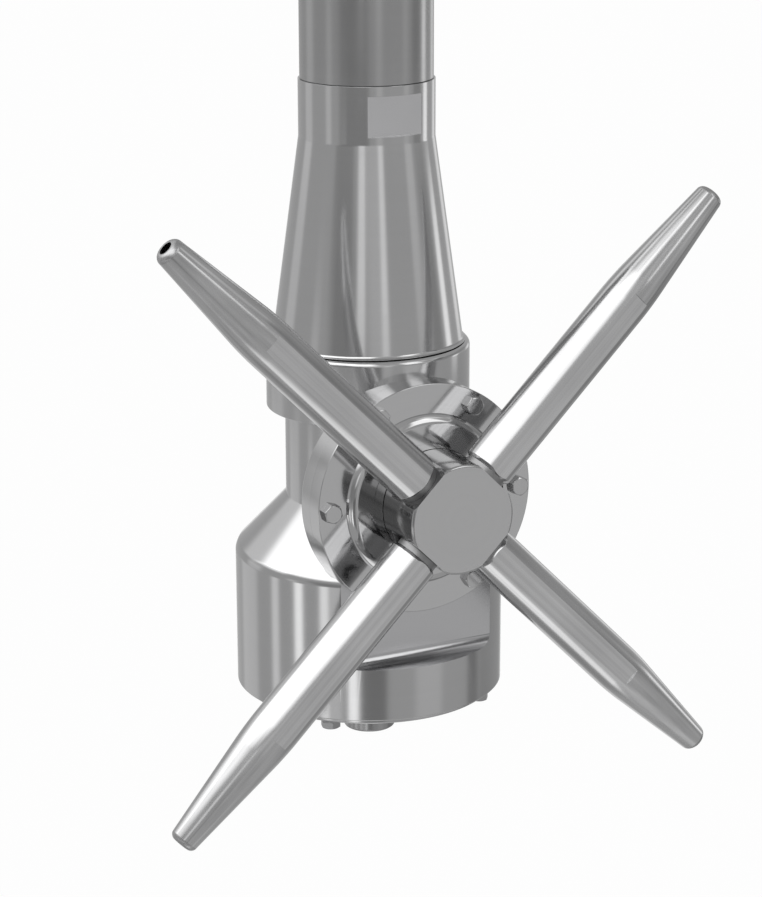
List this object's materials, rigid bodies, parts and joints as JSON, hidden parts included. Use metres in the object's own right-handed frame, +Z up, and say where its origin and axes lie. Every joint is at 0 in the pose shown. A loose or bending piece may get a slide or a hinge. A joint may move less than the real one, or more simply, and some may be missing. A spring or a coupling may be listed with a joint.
{
  "type": "rotary jet mixer",
  "caption": "Hanging rotary jet mixer: a geared housing turns on the foot of a downpipe cone, and a hub with long tapered nozzles turns on its side.",
  "frame": {"origin": "centre of the downpipe's upper end, on the pipe axis", "axes": "+Z up along the pipe axis; -Y from the pipe axis out along the nozzle hub's axis; +X to the right as seen from in front of the hub"},
  "size_m": [0.2696, 0.1568, 0.3763],
  "materials": {
    "pipe_steel": "satin",
    "polished_steel": "polished",
    "fastener_steel": "satin",
    "inner_steel": "machined",
    "bearing_plastic": "matt",
    "seal_rubber": "matt"
  },
  "bodies": {
    "hanger": {"downpipe": "pipe_steel", "inlet_cone": "polished_steel", "inlet_guide": "inner_steel", "guide_retaining_ring": "fastener_steel", "guide_bush": "bearing_plastic", "hanging_stem": "inner_steel", "stem_bush": "bearing_plastic", "stem_bevel_gear": "inner_steel", "gear_frame": "inner_steel", "frame_bush": "bearing_plastic", "first_planet_pins": "inner_steel", "second_planet_pins": "inner_steel"},
    "turret": {"housing": "polished_steel", "collar_ring": "inner_steel", "collar_bush": "bearing_plastic", "main_bush": "bearing_plastic", "hub_cover": "polished_steel", "hub_cover_seal": "seal_rubber", "hub_cover_bolts": "fastener_steel", "hub_bush": "bearing_plastic", "hub_thrust_ring": "bearing_plastic", "ring_gear": "inner_steel", "drum_cover": "polished_steel", "drum_cover_seal": "seal_rubber", "drum_cover_bolts": "fastener_steel", "drum_cover_washers": "fastener_steel", "bottom_plug": "polished_steel", "pivot_bush": "bearing_plastic"},
    "nozzle_head": {"nozzle_hub": "polished_steel", "hub_bevel_gear": "inner_steel", "nozzle_1": "polished_steel", "nozzle_2": "polished_steel", "nozzle_3": "polished_steel", "nozzle_4": "polished_steel"},
    "ball_row": {"main_balls": "inner_steel", "ball_cage": "bearing_plastic"},
    "rotor": {"impeller": "inner_steel", "impeller_shaft": "inner_steel", "impeller_pin": "fastener_steel", "drive_pinion": "inner_steel"},
    "cup": {"cup_wheel": "inner_steel"},
    "planet_a1": {"first_planet_1": "inner_steel"},
    "planet_a2": {"first_planet_2": "inner_steel"},
    "planet_a3": {"first_planet_3": "inner_steel"},
    "planet_b1": {"second_planet_1": "inner_steel"},
    "planet_b2": {"second_planet_2": "inner_steel"},
    "planet_b3": {"second_planet_3": "inner_steel"}
  },
  "joints": [
    {"name": "turret_turn", "type": "hinge", "parent": "hanger", "child": "turret", "pos_m": [0, 0, -0.2415], "axis": [0, 0, 1], "continuous": true},
    {"name": "nozzle_head_turn", "type": "hinge", "parent": "turret", "child": "nozzle_head", "pos_m": [0, -0.06, -0.2415], "axis": [0, 1, 0], "continuous": true},
    {"name": "ball_row_turn", "type": "hinge", "parent": "hanger", "child": "ball_row", "pos_m": [0, 0, -0.1936], "axis": [0, 0, 1], "continuous": true},
    {"name": "rotor_spin", "type": "hinge", "parent": "hanger", "child": "rotor", "pos_m": [0, 0, -0.16], "axis": [0, 0, 1], "continuous": true},
    {"name": "cup_spin", "type": "hinge", "parent": "hanger", "child": "cup", "pos_m": [0, 0, -0.305], "axis": [0, 0, 1], "continuous": true},
    {"name": "planet_a1_spin", "type": "hinge", "parent": "hanger", "child": "planet_a1", "pos_m": [0, 0.01688, -0.2955], "axis": [0, 0, 1], "continuous": true},
    {"name": "planet_a2_spin", "type": "hinge", "parent": "hanger", "child": "planet_a2", "pos_m": [-0.01461, -0.00844, -0.2955], "axis": [0, 0, 1], "continuous": true},
    {"name": "planet_a3_spin", "type": "hinge", "parent": "hanger", "child": "planet_a3", "pos_m": [0.01461, -0.00844, -0.2955], "axis": [0, 0, 1], "continuous": true},
    {"name": "planet_b1_spin", "type": "hinge", "parent": "hanger", "child": "planet_b1", "pos_m": [0, 0.0225, -0.32], "axis": [0, 0, 1], "continuous": true},
    {"name": "planet_b2_spin", "type": "hinge", "parent": "hanger", "child": "planet_b2", "pos_m": [-0.01949, -0.01125, -0.32], "axis": [0, 0, 1], "continuous": true},
    {"name": "planet_b3_spin", "type": "hinge", "parent": "hanger", "child": "planet_b3", "pos_m": [0.01949, -0.01125, -0.32], "axis": [0, 0, 1], "continuous": true}
  ],
  "couplings": [
    {"joint": "nozzle_head_turn", "follows": "turret_turn", "ratio": 0.93939},
    {"joint": "ball_row_turn", "follows": "turret_turn", "ratio": 0.5},
    {"joint": "rotor_spin", "follows": "turret_turn", "ratio": 16},
    {"joint": "cup_spin", "follows": "turret_turn", "ratio": -4},
    {"joint": "planet_a1_spin", "follows": "turret_turn", "ratio": -10.667},
    {"joint": "planet_a2_spin", "follows": "turret_turn", "ratio": -10.667},
    {"joint": "planet_a3_spin", "follows": "turret_turn", "ratio": -10.667},
    {"joint": "planet_b1_spin", "follows": "turret_turn", "ratio": 2.6667},
    {"joint": "planet_b2_spin", "follows": "turret_turn", "ratio": 2.6667},
    {"joint": "planet_b3_spin", "follows": "turret_turn", "ratio": 2.6667}
  ]
}
